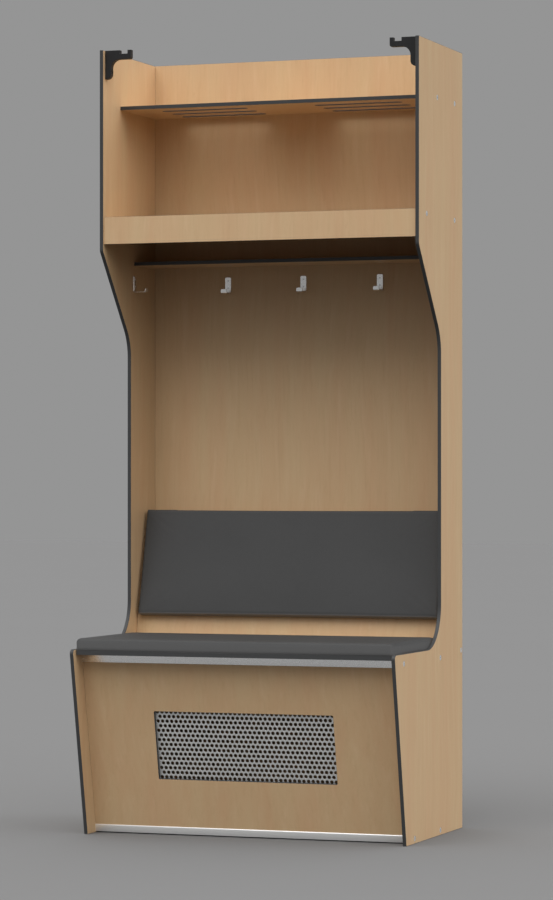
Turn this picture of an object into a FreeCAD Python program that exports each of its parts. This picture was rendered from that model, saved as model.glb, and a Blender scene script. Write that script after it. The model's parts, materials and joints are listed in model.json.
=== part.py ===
import FreeCAD, Part
import math
import os

# A sports locker of thin solid laminate boards: profiled side panels, a ventilated shelf, a closed
# shelf, coat hooks, a leaning backrest and a lift-up cushioned seat over a ventilated foot locker.
# Lengths are in millimetres. X runs to the right, Y to the back, Z up, from the floor's centre.
# Forward means the distance from the side panels' rear edges towards the person who sits down.

# Overall size
width = 914.4
depth = 609.6
height = 2133.6

# Boards
board = 10.0
back_board = 12.0
back_inset = 6.0
seat_thickness = 12.0

# Side panel profile
foot_depth = 508.0
nose_height = 504.0
nose_radius = 12.0
waist_depth = 200.0
waist_top = 1342.0
sweep_radius = 120.0
head_depth = 400.0
head_bottom = 1583.0
step_radius = 15.0

# Shelves
tray_height = 141.4
top_shelf_setback = 124.0
fascia_height = 74.0
fascia_rise = 20.2
fascia_setback = 6.0
shelf_lip = 4.0
hook_shelf_drop = 15.5
hook_shelf_setback = 25.0

# Ventilation slots of the top shelf
slot_length = 250.0
slot_width = 25.0
slot_pitch = 75.0
slot_rows = 3
slot_rear_margin = 38.0

# Seat, ledge and cushion
seat_drop = 3.0
seat_setback = 20.0
seat_gap = 2.0
cushion_setback = 17.0
cushion_rear_gap = 5.0
cushion_thickness = 30.0
cushion_crown = 3.0
cushion_shoulder = 9.0
cushion_bulge = 2.0
cushion_draw = 3.0

# Stations of a soft form: turns round its shoulder, then shares of its straight half
shoulder_turns_deg = (90, 45)
crown_shares = (1.0, 0.5)

# Leaning backrest
lean_deg = 13.7
backrest_setback = 40.0
backrest_tuck = 5.0
pad_rise = 75.0
pad_length = 307.0
pad_thickness = 28.0
pad_crown = 3.0
pad_shoulder = 8.0
pad_bulge = 1.0
pad_draw = 2.0
pad_gap = 2.0
rib_height = 330.0
rib_margin = 120.0

# Aluminium rails
rail_clearance = 3.0
rail_height = 21.0
rail_depth = 32.0
rail_wall = 2.5
rail_lip = 2.5
rail_radius = 4.0
groove_depth = 8.0
groove_fit = 0.3
port_radius = 2.3
port_sides = 8

# Slanted front panel, its opening and the perforated sheet behind it
panel_inset = 60.0
floor_clearance = 8.0
opening_width = 508.0
opening_height = 188.5
opening_rise = 250.0
opening_shift = 3.0
opening_radius = 3.0
sheet = 1.5
sheet_overlap = 20.0
hole_radius = 4.8
hole_sides = 4
hole_pitch_x = 13.0
hole_pitch_z = 12.95
hole_margin = 10.0

# Continuous hinge of the seat
hinge_lead = 5.0
leaf = 1.2
leaf_gap = 0.4
leaf_trim = 0.5
knuckle_radius = 3.0
knuckle_rise = 3.4
knuckle_pairs = 4
knuckle_sides = 12
knuckle_gap = 0.5
pin_radius = 1.2
pin_fit = 0.05
hinge_end_gap = 4.0

# Coat hooks, bent from flat strip
hook_width = 18.0
hook_strip = 3.0
hook_height = 47.0
hook_reach = 38.0
hook_tip = 12.5
hook_bend = 5.0
hook_corner = 3.0
hook_drop = 28.3
hook_pitch = 225.0
wall_hook_setback = 25.0
hook_screw_pitch = 20.0

# Notched brackets at the top front
bracket_reach = 76.0
bracket_drop = 78.0
bracket_thickness = 16.0
bracket_setback = 14.0
bracket_stem = 18.0
bracket_arm = 25.0
bracket_fillet = 24.0
bracket_end = 14.0
bracket_tip_radius = 6.0
notch_start = 43.0
notch_width = 23.0
notch_depth = 10.0
bracket_screw_margin = 20.0

# Screws: head radius, head depth, shank radius and length
side_head = 6.0
side_head_depth = 3.0
side_shank = 2.0
side_length = 34.0
top_screw_inset = 42.0
shelf_screw_inset = 55.0
back_screw_height = 490.0
small_head = 2.6
small_head_depth = 1.2
small_shank = 1.4
small_length = 11.0
bracket_head = 4.5
bracket_length = 25.0
screw_fit = 0.1
screw_sides = 6
rear_screw_share = 0.8
grille_screw_margin = 10.0

# One overrun serves all cuts, and places nearer than one trace count as the same
overrun = 5.0
trace = 0.1

# Places that several pieces share
inner_width = width - 2 * board
inner_half = inner_width / 2
back_face = back_inset + back_board
seat_top = nose_height - seat_drop
seat_under = seat_top - seat_thickness
hinge_forward = waist_depth + hinge_lead
leaf_offset = leaf_gap / 2 + leaf
front_slope = (depth - foot_depth) / nose_height
front_angle = math.degrees(math.atan(front_slope))
nose_reach = foot_depth + front_slope * (nose_height - nose_radius) + nose_radius * (
    1 - math.hypot(1, front_slope))
panel_foot = foot_depth - panel_inset
top_shelf_top = height - tray_height
top_shelf_front = head_depth - top_shelf_setback
fascia_bottom = head_bottom + fascia_rise
fascia_front = head_depth - fascia_setback
middle_shelf_top = fascia_bottom + fascia_height - shelf_lip
hook_shelf_top = head_bottom - hook_shelf_drop
hook_shelf_front = waist_depth - hook_shelf_setback
hook_top = hook_shelf_top - board - hook_drop
backrest_foot = hinge_forward - backrest_setback
backrest_length = pad_rise + pad_length - backrest_tuck
hinge_axis_z = seat_top + knuckle_rise
hinge_half = inner_half - hinge_end_gap
knuckle_step = hinge_half / knuckle_pairs

X_AXIS = FreeCAD.Vector(1, 0, 0)
Y_AXIS = FreeCAD.Vector(0, 1, 0)
Z_AXIS = FreeCAD.Vector(0, 0, 1)
ORIGIN = FreeCAD.Vector(0, 0, 0)


def y_at(forward):
    """The Y of a distance forward of the side panels' rear edges."""
    return nose_reach / 2 - forward


def point(x, forward, z):
    return FreeCAD.Vector(x, y_at(forward), z)


# The front panel and the backrest are drawn upright on the X-Z plane, then turned to their slopes
FRONT_SLOPE = FreeCAD.Placement(point(0, panel_foot, 0), FreeCAD.Rotation(X_AXIS, front_angle))
BACK_LEAN = FreeCAD.Placement(point(0, backrest_foot, seat_top), FreeCAD.Rotation(X_AXIS, -lean_deg))


def block(x_low, x_high, rear, front, low, high):
    """A board between two X values, two forward distances and two heights."""
    corner = point(x_low, front, low)
    return Part.makeBox(x_high - x_low, front - rear, high - low, corner)


def rounded_wire(points, radii):
    """A closed outline through the points, with each corner rounded by its radius."""
    starts = []
    middles = []
    ends = []
    for index, corner in enumerate(points):
        before = (points[index - 1] - corner).normalize()
        after = (points[(index + 1) % len(points)] - corner).normalize()
        half = before.getAngle(after) / 2
        inward = (before + after).normalize()
        radius = radii[index]
        starts.append(corner + before * (radius / math.tan(half)))
        middles.append(corner + inward * (radius / math.sin(half) - radius))
        ends.append(corner + after * (radius / math.tan(half)))
    edges = []
    for index in range(len(points)):
        if radii[index] > 0:
            edges.append(Part.Arc(starts[index], middles[index], ends[index]).toShape())
        following = starts[(index + 1) % len(points)]
        edges.append(Part.LineSegment(ends[index], following).toShape())
    return Part.Wire(edges)


def profile_solid(outline, radii, x_low, x_high):
    """An outline of (forward, height) points, drawn out along X."""
    points = [point(x_low, forward, z) for forward, z in outline]
    face = Part.Face(rounded_wire(points, radii))
    return face.extrude(X_AXIS * (x_high - x_low))


def many_sided(radius, sides, z):
    """The corners of a regular outline at a radius and a height, with the first one repeated."""
    points = []
    for corner in range(sides + 1):
        angle = corner * 2 * math.pi / sides
        points.append(FreeCAD.Vector(radius * math.cos(angle), radius * math.sin(angle), z))
    return points


def flat_face(points):
    return Part.Face(Part.makePolygon(points))


def faceted_bar(radius, sides, start, length):
    """A many-sided bar along X whose flats lie at a radius."""
    reach = radius / math.cos(math.pi / sides)
    bar = flat_face(many_sided(reach, sides, 0)).extrude(Z_AXIS * length)
    bar.Placement = FreeCAD.Placement(start, FreeCAD.Rotation(Z_AXIS, X_AXIS))
    return bar


def screw(head, head_depth, shank, length, fit=0):
    """A countersunk screw of flat faces, its head flush at the origin and its shank pointing down."""
    rings = [
        many_sided(head + fit, screw_sides, 0),
        many_sided(shank + fit, screw_sides, -head_depth - fit),
        many_sided(shank + fit, screw_sides, -length - fit),
    ]
    faces = [flat_face(rings[0]), flat_face(rings[-1])]
    for above, below in zip(rings, rings[1:]):
        for side in range(screw_sides):
            corners = [above[side], above[side + 1], below[side + 1], below[side]]
            faces.append(flat_face(corners + corners[:1]))
    shell = Part.Shell(faces)
    shell.sewShape()
    return Part.Solid(shell)


def placed(shape, position, direction):
    """A copy of a screw at a position, with its shank pointing along a direction."""
    copy = shape.copy()
    copy.Placement = FreeCAD.Placement(position, FreeCAD.Rotation(Z_AXIS * -1, direction))
    return copy


def screw_row(sizes, places, fit=0):
    """Screws of one size at a list of (position, direction) places."""
    pattern = screw(*sizes, fit)
    return Part.makeCompound([placed(pattern, position, direction) for position, direction in places])


def turned(shape, slope):
    """Moves a piece from the upright drawing plane to a slope."""
    shape.Placement = slope.multiply(shape.Placement)
    return shape


def save(name, shape):
    shape.exportStep("parts/" + name + ".step")


# Screw places

def side_screw_points():
    """The (forward, height) places of the screws through each side panel."""
    top_middle = top_shelf_top - board / 2
    shelf_middle = middle_shelf_top - board / 2
    rear = back_face + shelf_screw_inset
    places = [
        (top_shelf_front - top_screw_inset, top_middle),
        (rear, top_middle),
        (fascia_front - board - shelf_screw_inset, shelf_middle),
        (rear, shelf_middle),
        (back_inset + back_board / 2, back_screw_height),
    ]
    return places + rail_ports()


def rail_ports():
    """The (forward, height) middles of the four rails, where their end screws go."""
    low = rail_clearance + rail_height / 2
    high = seat_under - rail_height / 2
    return [
        (front_rail_rear(rail_clearance) + rail_depth / 2, low),
        (front_rail_rear(seat_under - rail_height) + rail_depth / 2, high),
        (hinge_forward, low),
        (hinge_forward, high),
    ]


def side_screw_places():
    places = []
    for side in (-1, 1):
        for forward, z in side_screw_points():
            places.append((point(side * width / 2, forward, z), X_AXIS * -side))
    return places


def back_screw_places():
    """Two screws through the back panel into each shelf and into the ledge."""
    heights = [top_shelf_top, middle_shelf_top, hook_shelf_top]
    middles = [z - board / 2 for z in heights] + [seat_top - seat_thickness / 2]
    places = []
    for z in middles:
        for side in (-1, 1):
            x = side * inner_half * rear_screw_share
            places.append((point(x, back_inset, z), Y_AXIS * -1))
    return places


def back_hook_places():
    """The back panel's hooks, each as its middle on the wall."""
    return [(-hook_pitch, "left"), (0, "centre"), (hook_pitch, "right")]


def hook_screw_places():
    places = []
    upper = hook_top - (hook_height - hook_screw_pitch) / 2 + hook_strip
    heights = [upper, upper - hook_screw_pitch]
    for z in heights:
        for x, _ in back_hook_places():
            places.append((point(x, back_face + hook_strip, z), Y_AXIS))
        for side in (-1, 1):
            x = side * (inner_half - hook_strip)
            places.append((point(x, waist_depth - wall_hook_setback, z), X_AXIS * side))
    return places


def bracket_screw_places():
    places = []
    forward = head_depth - bracket_setback - bracket_thickness / 2
    for side in (-1, 1):
        for z in (height - bracket_screw_margin, height - bracket_drop + bracket_screw_margin):
            places.append((point(side * (inner_half - bracket_stem), forward, z), X_AXIS * side))
    return places


# Each screw's head radius, head depth, shank radius and length
SIDE_SCREW = (side_head, side_head_depth, side_shank, side_length)
HOOK_SCREW = (small_head, small_head_depth, small_shank, small_length)
BRACKET_SCREW = (bracket_head, small_head_depth, side_shank, bracket_length)


def case_bores():
    """The bores that the screws leave in the boards, as one cutting tool."""
    return Part.makeCompound([
        screw_row(SIDE_SCREW, side_screw_places(), screw_fit),
        screw_row(SIDE_SCREW, back_screw_places(), screw_fit),
        screw_row(HOOK_SCREW, hook_screw_places(), screw_fit),
        screw_row(BRACKET_SCREW, bracket_screw_places(), screw_fit),
    ])


# Case

def side_outline():
    return [
        (0, 0),
        (foot_depth, 0),
        (depth, nose_height),
        (waist_depth, nose_height),
        (waist_depth, waist_top),
        (head_depth, head_bottom),
        (head_depth, height),
        (0, height),
    ]


def side_panel(side):
    """A side panel: slanted foot, nose, concave sweep, slim waist and deeper head."""
    radii = [0, 0, nose_radius, sweep_radius, sweep_radius, step_radius, 0, 0]
    edges = sorted((side * width / 2, side * inner_half))
    return profile_solid(side_outline(), radii, edges[0], edges[1]).cut(bores)


def back_panel():
    return block(-inner_half, inner_half, back_inset, back_face, 0, height).cut(bores)


def shelf_fascia():
    """A deep front edge that stands proud below and above the middle shelf."""
    rear = fascia_front - board
    high = fascia_bottom + fascia_height
    return block(-inner_half, inner_half, rear, fascia_front, fascia_bottom, high)


def shelf(rear, front, top, thickness):
    """A board across the whole inside of the locker."""
    return block(-inner_half, inner_half, rear, front, top - thickness, top).cut(bores)


def slot_tool(x, forward):
    """One ventilation slot of the top shelf, its ends rounded by facets."""
    low = top_shelf_top - board - overrun
    half = slot_length / 2
    facet = slot_width / (2 + math.sqrt(2))
    outline = []
    for across, along in ((-1, -1), (1, -1), (1, 1), (-1, 1)):
        end = point(x + across * half, forward + along * (slot_width / 2 - facet), low)
        side = point(x + across * (half - facet), forward + along * slot_width / 2, low)
        outline += [end, side] if across * along > 0 else [side, end]
    face = Part.Face(Part.makePolygon(outline + outline[:1]))
    return face.extrude(Z_AXIS * (board + 2 * overrun))


def top_shelf():
    slots = []
    for row in range(slot_rows):
        for side in (-1, 1):
            forward = back_face + slot_rear_margin + row * slot_pitch
            slots.append(slot_tool(side * inner_width / 4, forward))
    return shelf(back_face, top_shelf_front, top_shelf_top, board).cut(slots)


def panel_front(z):
    """How far forward the slanted panel's front face is at a height."""
    return panel_foot + front_slope * z


def locker_floor():
    """A board on the bottom rails, clear of the slanted panel's rear face."""
    low = rail_clearance + rail_height
    front = panel_front(low) - board - floor_clearance
    return block(-inner_half, inner_half, back_face, front, low, low + board)


# Rails


def front_rail_rear(low):
    """The rear face of a front rail whose underside is at a height."""
    return panel_front(low) + rail_lip - rail_depth


def panel_slab(fit):
    """The slanted panel from one rail's groove to the other's, grown by a fit."""
    stretch = math.cos(math.radians(front_angle))
    low = (rail_clearance + rail_height - groove_depth) / stretch
    high = (seat_under - rail_height + groove_depth) / stretch
    corner = FreeCAD.Vector(-inner_half, -fit, low - fit)
    slab = Part.makeBox(inner_width, board + 2 * fit, high - low + 2 * fit, corner)
    return turned(slab, FRONT_SLOPE)


def port_tool(forward, z):
    """The round port along a rail that its end screws cut into."""
    start = point(-inner_half, forward, z)
    return faceted_bar(port_radius, port_sides, start, inner_width)


def chamber(rear, front, low):
    """A hollow along a rail, one wall in from its faces."""
    return block(-inner_half, inner_half, rear, front, low + rail_wall, low + rail_height - rail_wall)


def front_rail(low, rounded_top):
    """An extrusion with a groove for the panel's edge, a hollow and a screw port."""
    high = low + rail_height
    rear = front_rail_rear(low)
    outline = [
        (panel_front(low) + rail_lip, low),
        (panel_front(high) + rail_lip, high),
        (rear, high),
        (rear, low),
    ]
    radii = [0, rail_radius, 0, 0] if rounded_top else [0, 0, 0, 0]
    outer = profile_solid(outline, radii, -inner_half, inner_half)
    middle = rear + rail_depth / 2
    hollow = chamber(rear + rail_wall, middle - port_radius - rail_wall, low)
    return outer.cut([panel_slab(groove_fit), hollow, port_tool(middle, low + rail_height / 2)])


def rear_rail(low):
    """A box extrusion with a screw port between its two hollows."""
    rear = hinge_forward - rail_depth / 2
    front = hinge_forward + rail_depth / 2
    outer = block(-inner_half, inner_half, rear, front, low, low + rail_height)
    web = port_radius + rail_wall
    hollows = [
        chamber(rear + rail_wall, hinge_forward - web, low),
        chamber(hinge_forward + web, front - rail_wall, low),
    ]
    return outer.cut(hollows + [port_tool(hinge_forward, low + rail_height / 2)])


# Slanted front panel and perforated sheet

def opening_corners(depth, margin):
    """The corners of the opening, or of a margin round it, at a depth behind the panel's face."""
    half_x = opening_width / 2 + margin
    half_z = opening_height / 2 + margin
    corners = []
    for across, up in ((-1, -1), (1, -1), (1, 1), (-1, 1)):
        corners.append(FreeCAD.Vector(opening_shift + across * half_x, depth, opening_rise + up * half_z))
    return corners


def front_panel():
    corners = opening_corners(-overrun, 0)
    face = Part.Face(rounded_wire(corners, [opening_radius] * len(corners)))
    opening = turned(face.extrude(Y_AXIS * (board + 2 * overrun)), FRONT_SLOPE)
    bored = screw_row(HOOK_SCREW, grille_screw_places(), screw_fit)
    return panel_slab(0).cut([opening, bored])


def hole_outline(x, z):
    """A many-sided hole with the same area as the round one."""
    turn = 2 * math.pi / hole_sides
    reach = hole_radius * math.sqrt(turn / math.sin(turn))
    points = []
    for corner in range(hole_sides + 1):
        angle = corner * turn
        points.append(FreeCAD.Vector(x + reach * math.cos(angle), board, z + reach * math.sin(angle)))
    return Part.makePolygon(points)


def vent_grille():
    """A sheet behind the opening, perforated in staggered rows."""
    corners = opening_corners(board, sheet_overlap)
    wires = [Part.makePolygon(corners + corners[:1])]
    columns = int((opening_width - 2 * hole_margin) // hole_pitch_x)
    rows = int((opening_height - 2 * hole_margin) // hole_pitch_z)
    for row in range(rows):
        z = opening_rise + (row - (rows - 1) / 2) * hole_pitch_z
        in_row = columns - row % 2
        for column in range(in_row):
            x = opening_shift + (column - (in_row - 1) / 2) * hole_pitch_x
            wires.append(hole_outline(x, z))
    face = Part.makeFace(wires, "Part::FaceMakerBullseye")
    plate = turned(face.extrude(Y_AXIS * sheet), FRONT_SLOPE)
    return plate.cut(screw_row(HOOK_SCREW, grille_screw_places(), screw_fit))


def grille_screw_places():
    """Screws from inside the locker, round the edge of the perforated sheet."""
    into = FRONT_SLOPE.Rotation.multVec(Y_AXIS * -1)
    half_x = opening_width / 2 + grille_screw_margin
    half_z = opening_height / 2 + grille_screw_margin
    places = []
    for x in (-half_x, 0, half_x):
        for z in (opening_rise - half_z, opening_rise + half_z):
            head = FRONT_SLOPE.multVec(FreeCAD.Vector(opening_shift + x, board + sheet, z))
            places.append((head, into))
    return places


# Soft forms

def soft_section(x, inset, length, sizes, fullness):
    """One cross-section of a cushion: flat base, drawn-in sides, soft shoulders and a crown."""
    thickness, crown, shoulder, bulge, draw = sizes
    half = length / 2 - bulge - inset - draw * fullness
    top = thickness - inset
    side_mid = (top - shoulder) / 2
    corner = shoulder * (1 - math.sqrt(0.5))
    front_low = FreeCAD.Vector(x, -half, 0)
    front_high = FreeCAD.Vector(x, -half, top - shoulder)
    top_front = FreeCAD.Vector(x, shoulder - half, top)
    top_rear = FreeCAD.Vector(x, half - shoulder, top)
    rear_high = FreeCAD.Vector(x, half, top - shoulder)
    rear_low = FreeCAD.Vector(x, half, 0)
    edges = [
        Part.Arc(front_low, FreeCAD.Vector(x, -half - bulge, side_mid), front_high).toShape(),
        Part.Arc(front_high, FreeCAD.Vector(x, corner - half, top - corner), top_front).toShape(),
        Part.Arc(top_front, FreeCAD.Vector(x, 0, top + crown * (fullness + 1) / 2), top_rear).toShape(),
        Part.Arc(top_rear, FreeCAD.Vector(x, half - corner, top - corner), rear_high).toShape(),
        Part.Arc(rear_high, FreeCAD.Vector(x, half + bulge, side_mid), rear_low).toShape(),
        Part.LineSegment(rear_low, front_low).toShape(),
    ]
    return Part.Wire(edges)


def soft_form(across, length, sizes):
    """A crowned cushion, lofted across its width, with rounded ends."""
    shoulder = sizes[2]
    straight = across / 2 - shoulder
    stations = []
    for turn_deg in shoulder_turns_deg:
        turn = math.radians(turn_deg)
        stations.append((straight + shoulder * math.sin(turn), shoulder * (1 - math.cos(turn)), 0))
    for share in crown_shares:
        stations.append((straight * share, 0, 1 - share * share))
    sections = [soft_section(-x, inset, length, sizes, full) for x, inset, full in stations]
    sections.append(soft_section(0, 0, length, sizes, 1))
    for x, inset, full in reversed(stations):
        sections.append(soft_section(x, inset, length, sizes, full))
    return Part.makeLoft(sections, True, True)


def seat_cushion():
    rear = hinge_forward + cushion_rear_gap
    front = depth - cushion_setback
    sizes = (cushion_thickness, cushion_crown, cushion_shoulder, cushion_bulge, cushion_draw)
    form = soft_form(inner_width - 2 * seat_gap, front - rear, sizes)
    form.translate(point(0, (front + rear) / 2, seat_top))
    return form


def backrest_pad():
    """The pad is drawn lying down, then stood up against the board's front face."""
    sizes = (pad_thickness, pad_crown, pad_shoulder, pad_bulge, pad_draw)
    form = soft_form(inner_width - 2 * pad_gap, pad_length, sizes)
    form.rotate(ORIGIN, X_AXIS, 90)
    form.translate(Z_AXIS * (pad_rise + pad_length / 2))
    return turned(form, BACK_LEAN)


# Backrest

def backrest_board():
    """The leaning board, its foot cut flat to stand on the ledge."""
    corner = FreeCAD.Vector(-inner_half, 0, -board)
    plank = turned(Part.makeBox(inner_width, board, backrest_length + board, corner), BACK_LEAN)
    low = seat_top - 2 * board
    under = block(-width, width, -depth, depth, low, seat_top)
    return plank.cut(under)


def backrest_rear(z):
    """How far forward the leaning board's rear face is at a height."""
    lean = math.radians(lean_deg)
    return backrest_foot - board / math.cos(lean) - (z - seat_top) * math.tan(lean)


def backrest_rib(x):
    """A wedge that stands on the ledge between the back panel and the leaning board."""
    high = seat_top + rib_height
    outline = [
        (back_face, seat_top),
        (backrest_rear(seat_top), seat_top),
        (backrest_rear(high), high),
        (back_face, high),
    ]
    return profile_solid(outline, [0, 0, 0, 0], x - board / 2, x + board / 2)


# Seat and hinge

def seat_board():
    front = depth - seat_setback
    half = inner_half - seat_gap
    rear = hinge_forward + leaf_offset
    return block(-half, half, rear, front, seat_under, seat_top)


def seat_ledge():
    return shelf(back_face, hinge_forward - leaf_offset, seat_top, seat_thickness)


def hinge_leaf(side):
    """One leaf: a strip on a board's edge, with every other knuckle round the pin."""
    near = hinge_forward + side * leaf_gap / 2
    rear, front = sorted((near, near + side * leaf))
    shape = block(-hinge_half, hinge_half, rear, front, seat_under + leaf_trim, seat_top)
    start = knuckle_gap / 2 - hinge_half
    if side > 0:
        start += knuckle_step
    length = knuckle_step - knuckle_gap
    for pair in range(knuckle_pairs):
        low = start + 2 * pair * knuckle_step
        tab = block(low, low + length, rear, front, seat_top, hinge_axis_z)
        end = point(low, hinge_forward, hinge_axis_z)
        shape = shape.fuse([tab, faceted_bar(knuckle_radius, knuckle_sides, end, length)])
    end = point(-hinge_half, hinge_forward, hinge_axis_z)
    bore = faceted_bar(pin_radius + pin_fit, knuckle_sides, end, 2 * hinge_half)
    return shape.removeSplitter().cut(bore)


def hinge_pin():
    start = point(-hinge_half, hinge_forward, hinge_axis_z)
    return Part.makeCylinder(pin_radius, 2 * hinge_half, start, X_AXIS)


# Hooks and brackets

def coat_hook():
    """A strip bent into a J, drawn on a wall at the origin and standing out towards -Y."""
    reach = hook_reach
    tip = reach - hook_strip
    outline = [
        (0, 0),
        (reach, 0),
        (reach, hook_tip),
        (tip, hook_tip),
        (tip, hook_strip),
        (hook_strip, hook_strip),
        (hook_strip, hook_height),
        (0, hook_height),
    ]
    inner_bend = hook_bend - hook_strip
    radii = [hook_bend, hook_bend, 0, 0, inner_bend, inner_bend, 0, 0]
    points = [FreeCAD.Vector(-hook_width / 2, -out, up) for out, up in outline]
    strip = Part.Face(rounded_wire(points, radii)).extrude(X_AXIS * hook_width)
    ends = [edge for edge in strip.Edges if is_strip_end(edge)]
    return strip.makeChamfer(hook_corner, ends)


def is_strip_end(edge):
    """True for the four short edges that cross the strip's thickness at its ends."""
    box = edge.BoundBox
    at_end = min(abs(box.ZMax - hook_tip), abs(box.ZMax - hook_height)) < trace
    return at_end and max(box.XLength, box.ZLength) < trace


def hook_at(x, forward, turn_deg):
    hook = coat_hook()
    turn = FreeCAD.Rotation(Z_AXIS, turn_deg)
    hook.Placement = FreeCAD.Placement(point(x, forward, hook_top - hook_height), turn)
    return hook.cut(screw_row(HOOK_SCREW, hook_screw_places(), screw_fit))


def bracket(side):
    """A notched bracket on a side panel's inner face, level with its top edge."""
    outline = [
        (0, 0),
        (notch_start, 0),
        (notch_start, notch_depth),
        (notch_start + notch_width, notch_depth),
        (notch_start + notch_width, 0),
        (bracket_reach, 0),
        (bracket_reach, bracket_arm),
        (bracket_stem, bracket_arm),
        (bracket_stem, bracket_drop),
        (0, bracket_drop),
    ]
    radii = [0, 0, 0, 0, 0, 0, bracket_tip_radius, bracket_fillet, bracket_end, 0]
    front = head_depth - bracket_setback
    points = []
    for inward, down in outline:
        points.append(point(side * (inner_half - inward), front, height - down))
    shape = Part.Face(rounded_wire(points, radii)).extrude(Y_AXIS * bracket_thickness)
    return shape.cut(screw_row(BRACKET_SCREW, bracket_screw_places(), screw_fit))


bores = case_bores()

os.makedirs("parts", exist_ok=True)

save("side_panel_left", side_panel(-1))
save("side_panel_right", side_panel(1))
save("back_panel", back_panel())
save("top_shelf", top_shelf())
save("middle_shelf", shelf(back_face, fascia_front - board, middle_shelf_top, board))
save("shelf_fascia", shelf_fascia())
save("hook_shelf", shelf(back_face, hook_shelf_front, hook_shelf_top, board))
save("locker_floor", locker_floor())

save("front_rail_bottom", front_rail(rail_clearance, True))
save("front_rail_top", front_rail(seat_under - rail_height, False))
save("rear_rail_bottom", rear_rail(rail_clearance))
save("rear_rail_top", rear_rail(seat_under - rail_height))
save("front_panel", front_panel())
save("vent_grille", vent_grille())

save("backrest_board", backrest_board())
save("backrest_pad", backrest_pad())
for x, name in ((rib_margin - inner_half, "left"), (0, "centre"), (inner_half - rib_margin, "right")):
    save("backrest_rib_" + name, backrest_rib(x))

save("seat_ledge", seat_ledge())
save("seat_board", seat_board())
save("seat_cushion", seat_cushion())
save("hinge_fixed_leaf", hinge_leaf(-1))
save("hinge_moving_leaf", hinge_leaf(1))
save("hinge_pin", hinge_pin())

for x, name in back_hook_places():
    save("coat_hook_back_" + name, hook_at(x, back_face, 0))
save("coat_hook_left_wall", hook_at(-inner_half, waist_depth - wall_hook_setback, 90))
save("coat_hook_right_wall", hook_at(inner_half, waist_depth - wall_hook_setback, -90))
save("bracket_left", bracket(-1))
save("bracket_right", bracket(1))

save("side_screws", screw_row(SIDE_SCREW, side_screw_places()))
save("back_screws", screw_row(SIDE_SCREW, back_screw_places()))
save("hook_screws", screw_row(HOOK_SCREW, hook_screw_places()))
save("bracket_screws", screw_row(BRACKET_SCREW, bracket_screw_places()))
save("grille_screws", screw_row(HOOK_SCREW, grille_screw_places()))
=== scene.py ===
# %% [markdown]
# # A sports locker, from bare pieces to a finished picture
#
# The object is a changing-room locker of thin solid laminate boards, with a cushioned seat that lifts on
# a long hinge. Its pieces arrive from the frame at their real size and place, but plain. In this lesson
# they get their finishes, and the pieces whose roundness or holes matter to the eye are modelled again
# in the same place. The frame comes first, because every later place is read from it.

import json
import math

import bmesh
import bpy
from mathutils import Matrix, Vector
from mathutils.geometry import delaunay_2d_cdt


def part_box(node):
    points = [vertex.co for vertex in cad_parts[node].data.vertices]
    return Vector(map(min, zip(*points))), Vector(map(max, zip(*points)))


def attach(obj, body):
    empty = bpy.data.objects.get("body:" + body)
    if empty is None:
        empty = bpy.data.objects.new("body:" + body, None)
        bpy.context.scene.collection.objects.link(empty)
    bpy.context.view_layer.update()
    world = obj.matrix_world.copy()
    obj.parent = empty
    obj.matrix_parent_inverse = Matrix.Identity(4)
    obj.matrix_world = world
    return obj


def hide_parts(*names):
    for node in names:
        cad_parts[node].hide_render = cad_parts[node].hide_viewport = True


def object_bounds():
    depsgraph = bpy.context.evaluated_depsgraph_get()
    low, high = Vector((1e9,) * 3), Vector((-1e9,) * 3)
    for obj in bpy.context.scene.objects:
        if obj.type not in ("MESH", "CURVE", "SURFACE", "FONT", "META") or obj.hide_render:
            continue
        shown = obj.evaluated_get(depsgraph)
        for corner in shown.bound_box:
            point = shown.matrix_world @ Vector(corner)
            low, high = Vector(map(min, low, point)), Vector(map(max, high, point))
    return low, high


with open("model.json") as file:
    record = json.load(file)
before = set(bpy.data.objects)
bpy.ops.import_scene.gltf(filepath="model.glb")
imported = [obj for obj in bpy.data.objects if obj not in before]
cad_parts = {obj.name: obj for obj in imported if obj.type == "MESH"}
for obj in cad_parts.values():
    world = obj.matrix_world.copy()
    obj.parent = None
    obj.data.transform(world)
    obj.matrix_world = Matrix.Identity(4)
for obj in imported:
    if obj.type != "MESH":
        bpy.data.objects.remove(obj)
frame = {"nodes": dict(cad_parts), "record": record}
cad_box = [Vector(corner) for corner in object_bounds()]
body_of_node = {node: body for body, members in frame["record"]["behaviour"]["bodies"].items()
                for node in members}
MM = 0.001
HALF_WIDTH = cad_box[1].x
REAR = cad_box[1].y
HEIGHT = cad_box[1].z
BOARD = 10 * MM
INNER_HALF = HALF_WIDTH - BOARD
FOOT_DEPTH = 508 * MM
NOSE = (609.6 * MM, 504 * MM)
FRONT_SLOPE = math.atan((NOSE[0] - FOOT_DEPTH) / NOSE[1])
print("nodes:", len(frame["nodes"]), "highest corner:", [round(v, 4) for v in cad_box[1]])

# %% [markdown]
# ## Camera
#
# A photograph with upright verticals was taken by a level camera, so its horizon shows the eye's height.
# The two other vanishing points give the turn and the focal length. The lens is shifted up a little
# instead of tilting the camera, because tilting would make the sides of the locker lean inwards.

# %% Stand the camera where the photographer stood
PICTURE_LONG_SIDE = 900
FOCAL_PIXELS = 3360
HORIZON_BELOW_MIDDLE = 30
EYE = Vector((3.118, -8.580, 0.958))
EYE_TURN = math.radians(19.84)

camera = bpy.data.objects.new("camera", bpy.data.cameras.new("camera"))
bpy.context.scene.collection.objects.link(camera)
bpy.context.scene.camera = camera
camera.location = EYE
camera.rotation_euler = (math.pi / 2, 0, EYE_TURN)
camera.data.lens = camera.data.sensor_width * FOCAL_PIXELS / PICTURE_LONG_SIDE
camera.data.shift_y = HORIZON_BELOW_MIDDLE / PICTURE_LONG_SIDE
print("lens:", round(camera.data.lens, 1), "mm")

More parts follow.
